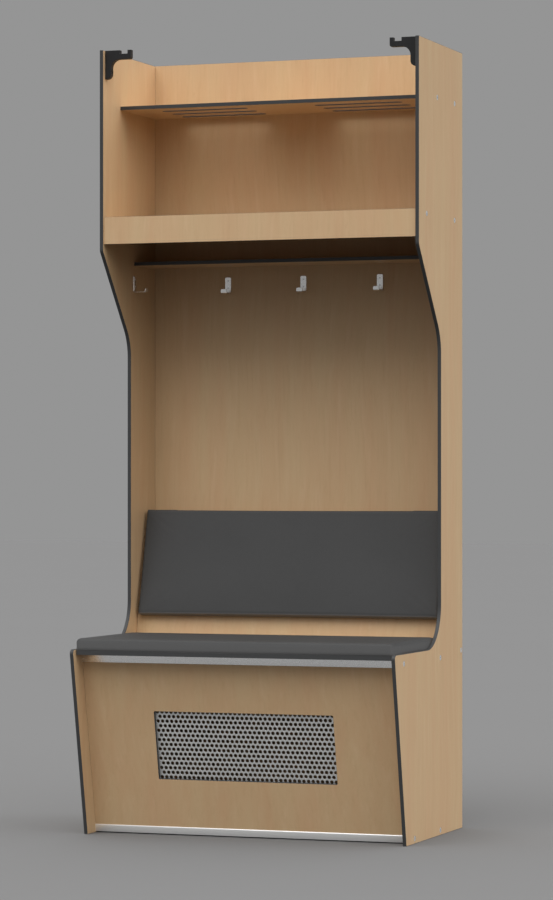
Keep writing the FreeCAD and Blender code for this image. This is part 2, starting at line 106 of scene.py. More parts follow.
# %% [markdown]
# ## Writing a finish as arithmetic
#
# A shader is a graph, but most of it is sums. `Signal` wraps one output of a node, so that `1 - mask` or
# `grain * 0.2 + tone` adds the Math nodes by itself. `Graph` adds any other node, from its type, its
# settings and its sockets, and `Finish` is the graph of one material. Colours are mixed with a Mix node,
# because a Math node would turn them grey.


# %% Signals
class Signal:
    """One output of a shader node. Arithmetic on it adds Math nodes."""

    def __init__(self, graph, socket):
        self.graph = graph
        self.socket = socket

    def maths(self, operation, first, second=0.0):
        return self.graph.add("ShaderNodeMath", {"operation": operation}, {0: first, 1: second})

    def __add__(self, other):
        return self.maths("ADD", self, other)

    def __radd__(self, other):
        return self.maths("ADD", other, self)

    def __sub__(self, other):
        return self.maths("SUBTRACT", self, other)

    def __rsub__(self, other):
        return self.maths("SUBTRACT", other, self)

    def __mul__(self, other):
        return self.maths("MULTIPLY", self, other)

    def __rmul__(self, other):
        return self.maths("MULTIPLY", other, self)

    def __gt__(self, other):
        return self.maths("GREATER_THAN", self, other)

    def __abs__(self):
        return self.maths("ABSOLUTE", self)


print("sums that a signal can do:", [name for name in vars(Signal) if name.startswith("__r")])


# %% Graphs and finishes
SEEN_RAYS = ("Is Camera Ray", "Is Glossy Ray", "Is Transmission Ray")


class Graph:
    """A graph of shader nodes, and one method that adds any of them."""

    def __init__(self, tree):
        self.tree = tree

    def feed(self, socket, value):
        if isinstance(value, Signal):
            self.tree.links.new(value.socket, socket)
        else:
            socket.default_value = value

    def add(self, kind, settings=None, sockets=None, output=0):
        node = self.tree.nodes.new(kind)
        for key, value in (settings or {}).items():
            if key == "stops":
                self.set_stops(node.color_ramp, value)
            else:
                setattr(node, key, value)
        for key, value in (sockets or {}).items():
            self.feed(node.inputs[key], value)
        return Signal(self, node.outputs[output])

    def set_stops(self, ramp, stops):
        for index, (place, shade) in enumerate(stops):
            stop = ramp.elements[index] if index < 2 else ramp.elements.new(place)
            stop.position = place
            stop.color = (shade, shade, shade, 1)

    def place(self, stretch=(1, 1, 1), shift=(0, 0, 0)):
        """Places on the piece, squeezed or stretched along each axis, and shifted."""
        here = self.add("ShaderNodeTexCoord", output="Object")
        return self.add("ShaderNodeMapping", None, {"Vector": here, "Scale": stretch, "Location": shift})

    def stretched(self, where, stretch):
        return self.add("ShaderNodeVectorMath", {"operation": "MULTIPLY"}, {0: where, 1: stretch})

    def noise(self, where, scale, detail=2.0, rough=0.5):
        sockets = {"Vector": where, "Scale": scale, "Detail": detail, "Roughness": rough}
        return self.add("ShaderNodeTexNoise", None, sockets)

    def ramp(self, signal, *stops):
        return self.add("ShaderNodeValToRGB", {"stops": stops}, {0: signal})

    def mix(self, mask, first, second):
        return self.add("ShaderNodeMix", {"data_type": "RGBA"}, {0: mask, 6: first, 7: second}, 2)

    def seen(self):
        """1 for a ray that goes straight to the camera, or there by way of a mirror or glass."""
        straight, mirrored, through = [self.add("ShaderNodeLightPath", output=ray) for ray in SEEN_RAYS]
        return straight + mirrored + through


class Finish(Graph):
    """A material with a Principled surface."""

    def __init__(self, name, constants):
        self.material = bpy.data.materials.new(name)
        self.material.use_nodes = True
        super().__init__(self.material.node_tree)
        self.surface = self.tree.nodes["Principled BSDF"]
        for socket, value in constants.items():
            self.surface.inputs[socket].default_value = value

    def bump(self, height, strength, depth):
        sockets = {"Height": height, "Strength": strength, "Distance": depth}
        self.feed(self.surface.inputs["Normal"], self.add("ShaderNodeBump", None, sockets))

    def colour(self, signal):
        self.feed(self.surface.inputs["Base Color"], signal)

    def roughness(self, signal):
        self.feed(self.surface.inputs["Roughness"], signal)


print("rays that are seen:", SEEN_RAYS)

# %% [markdown]
# ## Light
#
# The picture has no hard shadow. Most of its light comes from a wide sky that is bright overhead and dark
# near the floor, so the bays darken towards their ceilings and the floor darkens softly round the base.
# Two sun lamps with a large angle add what the sky lacks, evenly over the whole floor, where an area lamp
# would leave a bright pool. A ray that goes straight to the camera, or by way of metal, sees the
# backdrop's grey instead of the sky, so the light can change without the backdrop.

# %% Soft lamps and the world
BACKDROP = (0.30, 0.30, 0.30, 1)
SKY = (1.0, 1.0, 1.0, 1)
SKY_LOW = 0.03
SKY_HIGH = 2.30
SKY_RISES_FROM = 0.03
SKY_RISES_TO = 1.0
# Where a lamp shines, how strongly, and how many degrees wide it is
KEY_SUN = ((0.10, 0.61, -1.00), 1.40, 47)
SIDE_SUN = ((-0.94, 0.15, -0.58), 0.98, 66)


def sun(name, towards, strength, spread_deg):
    """A lamp as wide as its spread, shining along a direction."""
    lamp = bpy.data.lights.new(name, "SUN")
    lamp.energy = strength
    lamp.angle = math.radians(spread_deg)
    holder = bpy.data.objects.new(name, lamp)
    holder.rotation_euler = Vector(towards).to_track_quat("-Z", "Y").to_euler()
    bpy.context.scene.collection.objects.link(holder)


def studio_sky():
    """A world that grows brighter with height, and shows the backdrop's grey to a ray that is seen."""
    world = bpy.data.worlds.new("studio")
    bpy.context.scene.world = world
    world.use_nodes = True
    world.node_tree.nodes.clear()
    sky = Graph(world.node_tree)
    way = sky.add("ShaderNodeTexCoord", output="Generated")
    height = sky.add("ShaderNodeSeparateXYZ", None, {0: way}, "Z")
    limits = {"From Min": SKY_RISES_FROM, "From Max": SKY_RISES_TO, "To Min": SKY_LOW, "To Max": SKY_HIGH}
    rise = sky.add("ShaderNodeMapRange", None, {"Value": height, **limits})
    glow = sky.add("ShaderNodeBackground", None, {"Color": SKY, "Strength": rise})
    backdrop = sky.add("ShaderNodeBackground", None, {"Color": BACKDROP})
    choice = sky.add("ShaderNodeMixShader", None, {0: sky.seen(), 1: glow, 2: backdrop})
    sky.feed(world.node_tree.nodes.new("ShaderNodeOutputWorld").inputs["Surface"], choice)


sun("key", *KEY_SUN)
sun("side", *SIDE_SUN)
studio_sky()
bpy.context.scene.view_settings.view_transform = "Standard"

# %% [markdown]
# ## Maple-patterned laminate with a dark core
#
# Compact laminate is many resin sheets pressed into one board: the two outer sheets carry a printed maple
# pattern, and every cut edge shows the near-black core. One finish can do both, because a face and an
# edge differ in the direction they look: where the piece's own normal lies along the board's thickness
# it is pattern, and elsewhere it is core. Maple is quiet: broad pinkish and yellowish bands, thin streaks
# along the grain, and short flecks. Each is a noise stretched along the grain.

# %% Laminate
MAPLE_YELLOW = (0.586, 0.414, 0.234, 1)
MAPLE_PINK = (0.577, 0.374, 0.210, 1)
MAPLE_STREAK = (0.470, 0.296, 0.154, 1)
MAPLE_PALE = (0.645, 0.470, 0.285, 1)
CORE = (0.036, 0.037, 0.038, 1)
CORE_WORN = (0.052, 0.053, 0.054, 1)
FACE_LIMIT = 0.93
LONG_STRETCH = {"X": (0.06, 1, 1), "Z": (1, 1, 0.06)}
SHORT_STRETCH = {"X": (0.18, 1, 1), "Z": (1, 1, 0.18)}
SWAY_SCALE = 2.2
SWAY = (0.05, 0.05, 0.05)
CORE_SCALE = 900
PORE_SCALE = 620
# How many of each mark fit in a metre across the grain, its detail and roughness, and its ramp's ends
LONG_MARKS = {
    "band": (24, 3, 0.5, 0.30, 0.70),
    "streak": (115, 4, 0.65, 0.50, 0.76),
    "pale": (62, 3, 0.5, 0.54, 0.78),
}
SHORT_MARKS = {
    "fleck": (260, 1, 0.5, 0.64, 0.76),
    "mottle": (26, 4, 0.6, 0.34, 0.66),
}
PALE_SHARE = 0.40
STREAK_SHARE = 0.30
FLECK_SHARE = 0.16
MOTTLE_SHARE = 0.12
PORE_SHARE = 0.20


def laminate(name, face, grain, shift):
    """A board's finish: pattern on the faces that look along `face`, core on the cut edges."""
    finish = Finish(name, {"Specular IOR Level": 0.42})
    normal = finish.add("ShaderNodeTexCoord", output="Normal")
    look = finish.add("ShaderNodeVectorMath", {"operation": "DOT_PRODUCT"}, {0: normal, 1: face}, "Value")
    is_face = abs(look) > FACE_LIMIT

    still = finish.place((1, 1, 1), shift)
    sway = finish.add("ShaderNodeTexNoise", None, {"Vector": still, "Scale": SWAY_SCALE, "Detail": 1.0},
                      "Color")
    bent = finish.add("ShaderNodeVectorMath", {"operation": "MULTIPLY_ADD"}, {0: sway, 1: SWAY, 2: still})
    marks = {}
    for kinds, stretch in ((LONG_MARKS, LONG_STRETCH[grain]), (SHORT_MARKS, SHORT_STRETCH[grain])):
        where = finish.stretched(bent, stretch)
        for mark, (scale, detail, rough, low, high) in kinds.items():
            marks[mark] = finish.ramp(finish.noise(where, scale, detail, rough), (low, 0), (high, 1))
    pore = finish.noise(finish.stretched(bent, LONG_STRETCH[grain]), PORE_SCALE, 2)

    maple = finish.mix(marks["band"], MAPLE_YELLOW, MAPLE_PINK)
    maple = finish.mix(marks["pale"] * PALE_SHARE, maple, MAPLE_PALE)
    darker = marks["mottle"] * MOTTLE_SHARE + marks["streak"] * STREAK_SHARE + marks["fleck"] * FLECK_SHARE
    maple = finish.mix(darker + (pore - 0.5) * PORE_SHARE, maple, MAPLE_STREAK)

    cut = finish.noise(still, CORE_SCALE, 2)
    edge = finish.mix(cut, CORE, CORE_WORN)
    finish.colour(finish.mix(is_face, edge, maple))
    finish.roughness(0.46 + pore * 0.10 - is_face * 0.02)
    finish.bump(pore * is_face + cut * (1 - is_face) * 0.6, 0.10, 0.2 * MM)
    return finish.material


print("maple, from yellow", MAPLE_YELLOW[:3], "to pink", MAPLE_PINK[:3])

# %% [markdown]
# ## Metal, paint and vinyl
#
# Anodised aluminium is drawn through a die, so fine lines run along its length: noise stretched along X.
# The rails under the seat get a brighter, more metallic finish than those at the floor:
# a painted highlight where the seat's overhang shades them.
# The perforated sheet, hooks and screws are rolled steel with a fine even sparkle. Powder paint on the
# brackets has a faint orange peel. The cushions wear a fine-grained vinyl: small rounded cells from a
# Voronoi pattern make the grain, their middles painted paler as a painted highlight on the grain's tops,
# and a slow cloud of tone keeps a large plain surface from looking flat.
# The front of the seat and the underside of the backrest are painted paler: a painted highlight that
# stands in for light those faces lack. How far a surface faces up tells where that is.

# %% Metal finishes
ALONG_RAIL = (0.02, 1, 1)
ALONG_SHEET = (0.05, 1, 1)
ALONG_HOOK = (1, 1, 0.08)
EVEN = (1, 1, 1)
METAL_CLOUD = 14
DULLED = 0.90


def drawn_metal(name, tone, rough, stretch, size, metallic=1.0):
    """Metal with fine lines along one axis, set by a stretch, `size` lines to the metre."""
    finish = Finish(name, {"Metallic": metallic})
    line = finish.noise(finish.place(stretch), size, 3, 0.6)
    cloud = finish.noise(finish.place(), METAL_CLOUD, 2)
    dull = [channel * DULLED for channel in tone[:3]] + [1]
    finish.colour(finish.mix(line * 0.6 + cloud * 0.4, tone, dull))
    finish.roughness(rough + (line - 0.5) * 0.16 + (cloud - 0.5) * 0.08)
    finish.bump(line, 0.12, 0.1 * MM)
    return finish.material


# The rails under the seat: brighter and fully metallic, a painted highlight where the seat shades them
ALUMINIUM_PAINTED_HIGHLIGHT = drawn_metal("aluminium_painted_highlight", (1.0, 1.0, 1.0, 1), 0.26, ALONG_RAIL, 1400)
SATIN_ALUMINIUM = drawn_metal("satin_aluminium", (0.97, 0.97, 0.96, 1), 0.38, ALONG_RAIL, 1400, 0.5)
SHEET_METAL = drawn_metal("perforated_sheet_metal", (0.88, 0.88, 0.86, 1), 0.40, ALONG_SHEET, 900, 0.85)
HOOK_METAL = drawn_metal("satin_hook_metal", (0.98, 0.98, 0.97, 1), 0.26, ALONG_HOOK, 1600)
SCREW_METAL = drawn_metal("zinc_screw", (0.94, 0.96, 0.98, 1), 0.36, EVEN, 1800, 0.85)
HINGE_METAL = drawn_metal("hinge_steel", (0.80, 0.80, 0.81, 1), 0.36, ALONG_SHEET, 1300, 0.85)
METALS = (ALUMINIUM_PAINTED_HIGHLIGHT, SATIN_ALUMINIUM, SHEET_METAL, HOOK_METAL, SCREW_METAL, HINGE_METAL)
print("metals:", [metal.name for metal in METALS])

# %% Paint and vinyl
PAINT = (0.011, 0.011, 0.012, 1)
PAINT_WORN = (0.017, 0.017, 0.018, 1)
PAINT_CLOUD = 30
PEEL_SCALE = 700
# Grey that the middles of the grain's cells are mixed towards: a painted highlight on the grain's tops
GRAIN_PAINTED_HIGHLIGHT = 0.12
GRAIN_CELLS = 620
VINYL_WAVE = 60
VINYL_CLOUD = 4.5
# Where the vinyl's painted highlight lies: a ramp that starts at surfaces that face down and ends at those
# that face up
SEAT_FRONT_PAINTED_LIGHT = ((0.5, 1), (0.65, 0.3), (0.85, 0))
PAD_UNDERSIDE_PAINTED_LIGHT = ((0.30, 1), (0.48, 0))


def grey(shade):
    return (shade, shade, shade, 1)


def powder_paint():
    finish = Finish("black_powder_paint", {"Specular IOR Level": 0.35})
    peel = finish.noise(finish.place(), PEEL_SCALE, 2)
    cloud = finish.noise(finish.place(), PAINT_CLOUD, 3)
    finish.colour(finish.mix(cloud, PAINT, PAINT_WORN))
    finish.roughness(0.48 + peel * 0.14)
    finish.bump(peel, 0.35, 0.15 * MM)
    return finish.material


def vinyl(name, dark, light, stretched, painted_light_ramp):
    """`stretched` says how much paler the painted highlight makes the vinyl, and the last argument which way
    the highlighted faces look.
    """
    finish = Finish(name, {"Specular IOR Level": 0.28})
    normal = finish.add("ShaderNodeTexCoord", output="Normal")
    upwards = finish.add("ShaderNodeSeparateXYZ", None, {0: normal}, 2)
    painted_light_mask = finish.ramp(upwards * 0.5 + 0.5, *painted_light_ramp)
    cells = finish.add("ShaderNodeTexVoronoi", {"feature": "F1"},
                       {"Vector": finish.place(), "Scale": GRAIN_CELLS, "Randomness": 0.9}, "Distance")
    grain = finish.ramp(cells, (0.10, 1), (0.62, 0))
    wave = finish.noise(finish.place(), VINYL_WAVE, 3)
    cloud = finish.ramp(finish.noise(finish.place(), VINYL_CLOUD, 3), (0.3, 0), (0.7, 1))
    tone = finish.mix(cloud, grey(dark), grey(light))
    # Painted highlight: faces that the ramp picks are mixed towards a paler grey, in place of light
    tone = finish.mix(painted_light_mask, tone, grey(light * stretched))
    # The middles of the grain's cells and a fine wave are painted paler: a painted highlight on the grain
    finish.colour(finish.mix(grain * 0.12 + wave * 0.05, tone, grey(GRAIN_PAINTED_HIGHLIGHT)))
    finish.roughness(0.58 + cloud * 0.06 - grain * 0.08)
    finish.bump(grain + wave * 0.5, 0.30, 0.12 * MM)
    return finish.material


POWDER = powder_paint()
# Each cushion's vinyl has a painted highlight: the seat's front and the backrest's underside are made paler
SEAT_VINYL = vinyl("charcoal_vinyl_seat", 0.042, 0.048, 2.05, SEAT_FRONT_PAINTED_LIGHT)
BACKREST_VINYL = vinyl("charcoal_vinyl_backrest", 0.045, 0.051, 3.4, PAD_UNDERSIDE_PAINTED_LIGHT)
print("paint and vinyl:", POWDER.name, SEAT_VINYL.name, BACKREST_VINYL.name)

# %% [markdown]
# ## Boards cut as a joiner cuts them
#
# A laminate board is a flat outline with a thickness, so it is modelled as one: an outline, the holes in
# it, and for each of them the levels from the front face to the back. A level says how deep it lies and
# how far the line has moved into the board. Two levels near each face make the arris, the small bevel
# that a joiner takes off so that an edge doesn't cut. A countersink is two levels of a round hole.

# %% Outlines
WELD = 0.002 * MM
ARRIS = 0.9 * MM
FINE_ARRIS = 0.3 * MM
SHARP = math.radians(30)
ARC_STEP = math.radians(5)
ROUND_SIDES = 32
AXES = (Vector((1, 0, 0)), Vector((0, 1, 0)), Vector((0, 0, 1)))
# The triangulation keeps the triangles inside the outer ring, and treats closer points as one
INNER_TRIANGLES = 1
SAME_PLACE = 1e-8


def rounded(corners, radii):
    """A closed outline through the corners, each rounded by its radius."""
    outline = []
    for index, here in enumerate(corners):
        corner = Vector(here)
        before = (Vector(corners[index - 1]) - corner).normalized()
        after = (Vector(corners[(index + 1) % len(corners)]) - corner).normalized()
        radius = radii[index]
        if radius == 0:
            outline.append(corner)
            continue
        half = before.angle(after) / 2
        centre = corner + (before + after).normalized() * (radius / math.sin(half))
        spoke = corner + before * (radius / math.tan(half)) - centre
        turn = math.copysign(math.pi - 2 * half, before.y * after.x - before.x * after.y)
        steps = max(2, math.ceil(abs(turn) / ARC_STEP))
        for step in range(steps + 1):
            outline.append(centre + Matrix.Rotation(turn * step / steps, 2) @ spoke)
    return outline


def rectangle(left, low, right, high, radius=0):
    corners = [(left, low), (right, low), (right, high), (left, high)]
    return rounded(corners, [radius] * 4)


def circle(centre, radius, sides=ROUND_SIDES):
    turns = [2 * math.pi * side / sides for side in range(sides)]
    return [Vector(centre) + Vector((math.cos(turn), math.sin(turn))) * radius for turn in turns]


def moved(loop, distance):
    """The loop with each side moved to its left."""
    if distance == 0:
        return loop
    result = []
    for index, corner in enumerate(loop):
        arriving = (corner - loop[index - 1]).normalized()
        leaving = (loop[(index + 1) % len(loop)] - corner).normalized()
        left = Vector((-arriving.y, arriving.x)) + Vector((-leaving.y, leaving.x))
        result.append(corner + left * (distance / (1 + arriving.dot(leaving))))
    return result


def eased(thickness, arris=ARRIS):
    """The levels of an edge with an arris at both faces."""
    return [(0, arris), (arris, 0), (thickness - arris, 0), (thickness, arris)]


print("a rounded square has", len(rectangle(0, 0, 1, 1, 0.1)), "points")

# %% Boards
def within(point, loop):
    """True where a ray from the point crosses the loop an odd number of times."""
    inside = False
    for index, end in enumerate(loop):
        start = loop[index - 1]
        if (start.y > point.y) != (end.y > point.y):
            cross = start.x + (end.x - start.x) * (point.y - start.y) / (end.y - start.y)
            inside ^= cross > point.x
    return inside


def fill(mesh, rings):
    """Closes the space between an outer ring and the holes inside it."""
    flat = [place for ring in rings for place, _ in ring]
    corners = [corner for ring in rings for _, corner in ring]
    owners = [number for number, ring in enumerate(rings) for _ in ring]
    sides = []
    for ring in rings:
        first = len(sides)
        sides += [(first + step, first + (step + 1) % len(ring)) for step in range(len(ring))]
    _, _, triangles, origins, _, _ = delaunay_2d_cdt(flat, sides, [], INNER_TRIANGLES, SAME_PLACE)
    for triangle in triangles:
        own = [origins[index][0] for index in triangle]
        hole = owners[own[0]]
        centre = (flat[own[0]] + flat[own[1]] + flat[own[2]]) / 3
        in_one = hole > 0 and all(owners[index] == hole for index in own)
        if not (in_one and within(centre, [place for place, _ in rings[hole]])):
            mesh.faces.new([corners[index] for index in own])


def add_rings(mesh, rings, place):
    """Joins rings of equal count into walls, and returns them."""
    made = [[(flat, mesh.verts.new(place @ Vector((flat.x, flat.y, depth)))) for flat in ring]
            for ring, depth in rings]
    for ring, following in zip(made, made[1:]):
        for step in range(len(ring)):
            after = (step + 1) % len(ring)
            mesh.faces.new((ring[step][1], ring[after][1], following[after][1], following[step][1]))
    return made


def drawn_out(mesh, loops, place):
    """Adds a solid to a mesh: each loop is an outline, anticlockwise, or a hole, and its levels."""
    fronts = []
    backs = []
    for number, (loop, levels) in enumerate(loops):
        line = loop if number == 0 else loop[::-1]
        rings = add_rings(mesh, [(moved(line, inward), depth) for depth, inward in levels], place)
        fronts.append(rings[0])
        backs.append(rings[-1])
    fill(mesh, fronts)
    fill(mesh, backs)


def facing(origin, across, up, inward):
    """Turns places in a drawing (across, up, inward) into places on the locker."""
    return Matrix.Translation(origin) @ Matrix((across, up, inward)).transposed().to_4x4()


def linked(name, mesh, finish):
    """Makes an object from a mesh, in one finish."""
    data = bpy.data.meshes.new(name)
    mesh.to_mesh(data)
    mesh.free()
    data.materials.append(finish)
    piece = bpy.data.objects.new(name, data)
    bpy.context.scene.collection.objects.link(piece)
    return piece


def shown(name, mesh, finish, node):
    """Makes a piece from a mesh. It rides with the node that it stands for, and hides it."""
    bmesh.ops.recalc_face_normals(mesh, faces=mesh.faces)
    piece = linked(name, mesh, finish)
    piece.data.shade_smooth()
    piece.data.set_sharp_from_angle(angle=SHARP)
    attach(piece, body_of_node[node])
    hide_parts(node)
    return piece


def board(name, loops, place, finish, node):
    mesh = bmesh.new()
    drawn_out(mesh, loops, place)
    shown(name, mesh, finish, node)


print("boards are drawn with an arris of", ARRIS / MM, "mm")

# %% [markdown]
# ## Screws, read from the frame
#
# The screws in the frame are plain six-sided plugs. Their places are right, so each one's head is found
# from its own solid, and a round countersunk head with a six-lobed socket is put there. The boards around
# them get round countersinks from the same places, so that head and board can't drift apart.

# %% Find the screws
SIDE_REACH = 40 * MM


def islands(node):
    """The corners of each separate solid in a node."""
    mesh = bmesh.new()
    mesh.from_mesh(frame["nodes"][node].data)
    bmesh.ops.remove_doubles(mesh, verts=mesh.verts, dist=WELD)
    left = set(mesh.verts)
    groups = []
    while left:
        waiting = [left.pop()]
        group = []
        while waiting:
            corner = waiting.pop()
            group.append(corner.co.copy())
            for edge in corner.link_edges:
                other = edge.other_vert(corner)
                if other in left:
                    left.remove(other)
                    waiting.append(other)
        groups.append(group)
    mesh.free()
    return groups


def middle(points):
    return sum(points, Vector((0, 0, 0))) / len(points)


def screw_places(node, way_in):
    """The middle of each screw's head, and the way in."""
    places = []
    for corners in islands(node):
        way = way_in(middle(corners)).normalized()
        nearest = min(corner.dot(way) for corner in corners)
        rim = [corner for corner in corners if corner.dot(way) < nearest + 10 * WELD]
        places.append((middle(rim), way))
    return sorted(places, key=lambda place: tuple(round(value, 4) for value in place[0]))


def towards_side(point):
    return Vector((math.copysign(1, point.x), 0, 0))


def into_side(point):
    return -towards_side(point)


def into_back(point):
    return -AXES[1]


def into_wall(point):
    """Hook screws go into the wall that they are near: a side panel, or the back panel."""
    near_side = abs(point.x) > HALF_WIDTH - SIDE_REACH
    return towards_side(point) if near_side else AXES[1].copy()


def into_slope(point):
    return Vector((0, -math.cos(FRONT_SLOPE), -math.sin(FRONT_SLOPE)))


WAYS = {"side": into_side, "back": into_back, "hook": into_wall, "bracket": towards_side,
        "grille": into_slope}
SCREWS = {kind: screw_places(kind + "_screws", way_in) for kind, way_in in WAYS.items()}
for kind, places in SCREWS.items():
    print(len(places), kind, "screws, the first at", [round(value, 4) for value in places[0][0]])

# %% Countersunk screws
# Head radius, head depth, shank radius, length
CASE_SCREW = (7.4 * MM, 4.4 * MM, 2.0 * MM, 34.0 * MM)
SMALL_SCREW = (2.6 * MM, 1.2 * MM, 1.4 * MM, 11.0 * MM)
ARM_SCREW = (4.5 * MM, 1.2 * MM, 2.0 * MM, 25.0 * MM)
SCREW_FIT = 0.1 * MM
SOCKET_SHARE = 0.34
SOCKET_DEPTH_SHARE = 0.55
SOCKET_LOBES = 6
LOBE_SHARE = 0.14
HEAD_EDGE_SHARE = 0.03


def socket(radius, sides=36):
    """A six-lobed socket outline."""
    outline = []
    for side in range(sides):
        turn = 2 * math.pi * side / sides
        reach = radius * (1 + LOBE_SHARE * math.cos(SOCKET_LOBES * turn))
        outline.append(Vector((reach * math.cos(turn), reach * math.sin(turn))))
    return outline


def screw_rings(sizes):
    """The screw's rings from the socket's floor, over the head, down to the tip."""
    head, head_depth, shank, length = sizes
    edge = head * HEAD_EDGE_SHARE
    sunk = head_depth * SOCKET_DEPTH_SHARE
    hole = socket(head * SOCKET_SHARE)
    body = [(head - edge, 0), (head, edge), (shank, head_depth), (shank, length - shank), (shank / 3, length)]
    return [(hole, sunk), (hole, 0)], [(circle((0, 0), radius), depth) for radius, depth in body]


def add_screw(mesh, sizes, head_middle, way):
    across = way.orthogonal().normalized()
    place = facing(head_middle, across, way.cross(across), way)
    hole, body = screw_rings(sizes)
    hole_rings = add_rings(mesh, hole, place)
    body_rings = add_rings(mesh, body, place)
    fill(mesh, [body_rings[0], hole_rings[1]])
    fill(mesh, [hole_rings[0]])
    fill(mesh, [body_rings[-1]])


def screws(name, kind, sizes):
    mesh = bmesh.new()
    for head_middle, way in SCREWS[kind]:
        add_screw(mesh, sizes, head_middle, way)
    shown(name, mesh, SCREW_METAL, kind + "_screws")


def countersink(centre, sizes, thickness):
    """A round hole that widens at the front face to take a screw's head."""
    head, head_depth, shank, _ = sizes
    bore = shank + SCREW_FIT
    wide = head + SCREW_FIT - bore
    return circle(centre, bore), [(0, wide), (head_depth + SCREW_FIT, 0), (thickness, 0)]


screws("case_side_screws", "side", CASE_SCREW)
screws("case_back_screws", "back", CASE_SCREW)
screws("coat_hook_screws", "hook", SMALL_SCREW)
screws("bracket_arm_screws", "bracket", ARM_SCREW)
screws("grille_sheet_screws", "grille", SMALL_SCREW)
print("case screw heads are", round(2 * CASE_SCREW[0] / MM, 1), "mm wide")

# %% [markdown]
# ## The side panels
#
# Each side is one sheet, cut by a router to a profile: a foot that slopes forward, a nose, a hollow sweep
# up to a slim waist, and a deeper head. The outline is drawn by its corners and the radius at each, so
# that the sweeps come out as true arcs. The grain runs upright on both sides and the edge shows the core.

# %% Side panels
WAIST_DEPTH = 200 * MM
WAIST_TOP = 1342 * MM
HEAD = (400 * MM, 1583 * MM)
NOSE_RADIUS = 12 * MM
SWEEP_RADIUS = 120 * MM
STEP_RADIUS = 15 * MM


def side_outline():
    corners = [(0, 0), (FOOT_DEPTH, 0), NOSE, (WAIST_DEPTH, NOSE[1]), (WAIST_DEPTH, WAIST_TOP), HEAD,
               (HEAD[0], HEIGHT), (0, HEIGHT)]
    return rounded(corners, [0, 0, NOSE_RADIUS, SWEEP_RADIUS, SWEEP_RADIUS, STEP_RADIUS, 0, 0])


def side_panel(side, which, shift):
    """A drawing of (forward, up) on the panel's outer face, which looks away from the locker."""
    place = facing((side * HALF_WIDTH, REAR, 0), -AXES[1], AXES[2], AXES[0] * -side)
    loops = [(side_outline(), eased(BOARD))]
    for spot, _ in SCREWS["side"]:
        if spot.x * side > 0:
            loops.append(countersink((REAR - spot.y, spot.z), CASE_SCREW, BOARD))
    finish = laminate("maple_" + which + "_side_board", AXES[0], "Z", shift)
    board(which + "_side_board", loops, place, finish, "side_panel_" + which)


side_panel(-1, "left", (0.3, 1.1, 0.2))
side_panel(1, "right", (1.7, 0.4, 2.6))
print("side outline:", len(side_outline()), "points")

# %% [markdown]
# ## Back, shelves and ledge
#
# The plain boards are rectangles, so their outlines come straight from the frame's boxes: the shortest
# side of a box is the board's thickness. The tray has six long slots with round ends for air, and the
# back takes the screws that hold the shelves.

# %% Plain boards
def board_place(node):
    """A board's drawing place, its two sizes and its thickness, from its box."""
    low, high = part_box(node)
    size = [high[axis] - low[axis] for axis in range(3)]
    thin = min(range(3), key=lambda axis: size[axis])
    across, up = [axis for axis in range(3) if axis != thin]
    return facing(low, AXES[across], AXES[up], AXES[thin]), size[across], size[up], size[thin], thin


def plain_board(name, node, grain, shift, openings=()):
    place, across, up, thickness, thin = board_place(node)
    loops = [(rectangle(0, 0, across, up), eased(thickness, FINE_ARRIS))]
    loops += [(opening, eased(thickness)) for opening in openings]
    finish = laminate("maple_" + name, AXES[thin], grain, shift)
    board(name, loops, place, finish, node)


# The piece, its node, the way its grain runs and where its pattern is cut from
PLAIN_BOARDS = (
    ("closed_shelf_board", "middle_shelf", "X", (0.1, 0.9, 0.5)),
    ("closed_shelf_front", "shelf_fascia", "Z", (0.8, 2.2, 1.3)),
    ("hook_shelf_board", "hook_shelf", "X", (2.1, 0.2, 0.7)),
    ("foot_locker_floor_board", "locker_floor", "X", (1.1, 1.9, 0.1)),
    ("fixed_ledge_board", "seat_ledge", "X", (0.6, 1.2, 2.4)),
    ("seat_base_board", "seat_board", "X", (1.4, 0.3, 1.9)),
)
for details in PLAIN_BOARDS:
    plain_board(*details)
print("plain boards made:", len(PLAIN_BOARDS))

# %% Tray with slots
SLOT_LENGTH = 250 * MM
SLOT_WIDTH = 25 * MM
SLOT_PITCH = 75 * MM
SLOT_ROWS = 3
SLOT_REAR_MARGIN = 38 * MM
SLOT_MIDDLES = (0.25, 0.75)
ROUND_END = 0.499


def tray_slots():
    _, across, up, _, _ = board_place("top_shelf")
    slots = []
    for row in range(SLOT_ROWS):
        rear = up - SLOT_REAR_MARGIN - row * SLOT_PITCH
        for share in SLOT_MIDDLES:
            left = across * share - SLOT_LENGTH / 2
            slots.append(rectangle(left, rear - SLOT_WIDTH / 2, left + SLOT_LENGTH, rear + SLOT_WIDTH / 2,
                                   SLOT_WIDTH * ROUND_END))
    return slots


TRAY_SLOTS = tray_slots()
plain_board("tray_board", "top_shelf", "X", (0.2, 0.6, 1.6), TRAY_SLOTS)
print("tray slots:", len(TRAY_SLOTS))

# %% Back panel
def back_panel():
    low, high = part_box("back_panel")
    thickness = high.y - low.y
    place = facing((low.x, high.y, low.z), AXES[0], AXES[2], -AXES[1])
    loops = [(rectangle(0, 0, high.x - low.x, high.z - low.z), eased(thickness, FINE_ARRIS))]
    finish = laminate("maple_back_board", AXES[1], "Z", (0.5, 0.7, 0.9))
    for spot, _ in SCREWS["back"]:
        loops.append(countersink((spot.x - low.x, spot.z - low.z), CASE_SCREW, thickness))
    board("back_board", loops, place, finish, "back_panel")


back_panel()
print("back panel bored for", len(SCREWS["back"]), "screws")

# %% [markdown]
# ## Sloping boards
#
# The vent panel and the backrest pad are drawn upright, then turned to their slopes about the line that
# they stand on. The vent panel has a window for air, with slightly rounded corners. The backrest board's
# foot is cut level, which only its own solid knows, so that board, its ribs and the rails are copied from
# the frame: the copy is welded, its flat faces are joined, and every sharp edge gets a small round.

